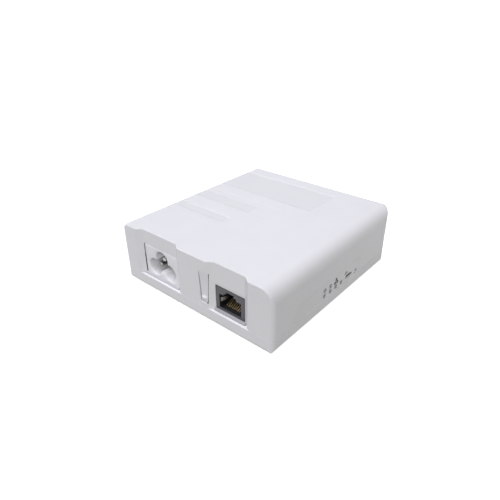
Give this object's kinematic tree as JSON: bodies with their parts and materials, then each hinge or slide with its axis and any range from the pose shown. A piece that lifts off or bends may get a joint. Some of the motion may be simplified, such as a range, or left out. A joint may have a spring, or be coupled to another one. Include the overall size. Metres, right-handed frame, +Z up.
{
  "type": "poe injector",
  "caption": "White desktop power-over-Ethernet box: two-part shell, cloverleaf mains inlet, shielded Ethernet socket, latch tongue, status lamps, USB slot and reset button",
  "frame": {"origin": "centre of the footprint, on the surface that the feet rest on", "axes": "+Z up, the port face looks along -Y, the status lamps look along +X, the long horizontal side of the housing runs along Y"},
  "size_m": [0.09, 0.0996, 0.0309],
  "materials": {
    "shell_white": "satin white moulded ABS with a very fine texture",
    "tray_white": "satin white moulded ABS with a very fine texture",
    "inlet_white": "smooth white thermoplastic",
    "pin_metal": "nickel-plated brass",
    "shield_metal": "tin-plated sheet metal, dark grey",
    "socket_black": "black moulded thermoplastic",
    "contact_gold": "gold-plated spring wire",
    "board_green": "green solder mask on glass-epoxy laminate",
    "part_black": "black moulded epoxy",
    "part_yellow": "yellow plastic case",
    "part_blue": "blue epoxy coating",
    "ferrite": "sintered ferrite, dark grey",
    "copper": "enamelled copper wire winding",
    "winding_tape": "yellow polyester tape over the winding",
    "can_sleeve": "dark shrink sleeve over an aluminium can",
    "bare_aluminium": "bare aluminium",
    "lamp_lens": "translucent grey light guide, unlit",
    "lamp_body": "white lamp package",
    "button_grey": "mid grey plastic",
    "screw_steel": "zinc-plated steel",
    "foot_rubber": "dark grey rubber"
  },
  "bodies": {
    "housing": {"base_tray": "tray_white", "bridge_rectifier": "part_black", "bulk_capacitor": "can_sleeve", "case_screw_1": "screw_steel", "case_screw_2": "screw_steel", "case_screw_3": "screw_steel", "case_screw_4": "screw_steel", "circuit_board": "board_green", "crystal_can": "bare_aluminium", "ethernet_transformer": "part_black", "foot_1": "foot_rubber", "foot_2": "foot_rubber", "foot_3": "foot_rubber", "foot_4": "foot_rubber", "fuse": "part_black", "heat_sink": "bare_aluminium", "inlet_body": "inlet_white", "inlet_pin_earth": "pin_metal", "inlet_pin_line": "pin_metal", "inlet_pin_neutral": "pin_metal", "jack_insert": "socket_black", "jack_shield": "shield_metal", "light_guide": "lamp_lens", "line_choke_core": "ferrite", "line_choke_winding_left": "copper", "line_choke_winding_right": "copper", "memory_chip": "part_black", "network_chip": "part_black", "output_capacitor_1": "can_sleeve", "output_capacitor_2": "can_sleeve", "output_rectifier": "part_black", "poe_controller": "part_black", "power_transistor": "part_black", "reset_switch_body": "part_black", "status_lamp_1": "lamp_body", "status_lamp_2": "lamp_body", "status_lamp_3": "lamp_body", "status_lamp_4": "lamp_body", "transformer_core": "ferrite", "transformer_winding": "winding_tape", "upper_shell": "shell_white", "usb_shell": "shield_metal", "usb_tongue": "socket_black", "varistor": "part_blue", "x_capacitor": "part_yellow", "y_capacitor": "part_blue"},
    "latch_tongue": {"latch_tongue": "shell_white"},
    "reset_button": {"reset_button": "button_grey"},
    "reset_plunger": {"reset_switch_plunger": "button_grey"},
    "jack_contacts": {"jack_contact_1": "contact_gold", "jack_contact_2": "contact_gold", "jack_contact_3": "contact_gold", "jack_contact_4": "contact_gold", "jack_contact_5": "contact_gold", "jack_contact_6": "contact_gold", "jack_contact_7": "contact_gold", "jack_contact_8": "contact_gold"}
  },
  "joints": [
    {"name": "tongue_flex", "type": "hinge", "parent": "housing", "child": "latch_tongue", "pos_m": [0.0082, -0.04855, 0.0248], "axis": [1, 0, 0], "range_deg": [0, 8], "stiffness_Nm_per_rad": 0.5},
    {"name": "reset_press", "type": "slide", "parent": "housing", "child": "reset_button", "axis": [-1, 0, 0], "range_m": [0, 0.0005], "stiffness_N_per_m": 300},
    {"name": "plunger_press", "type": "slide", "parent": "housing", "child": "reset_plunger", "axis": [-1, 0, 0], "range_m": [0, 0.0005]},
    {"name": "contact_flex", "type": "hinge", "parent": "housing", "child": "jack_contacts", "pos_m": [0.02115, -0.04585, 0.0102], "axis": [-1, 0, 0], "range_deg": [0, 8], "stiffness_Nm_per_rad": 0.05}
  ],
  "couplings": [
    {"joint": "plunger_press", "follows": "reset_press", "ratio": 1}
  ]
}
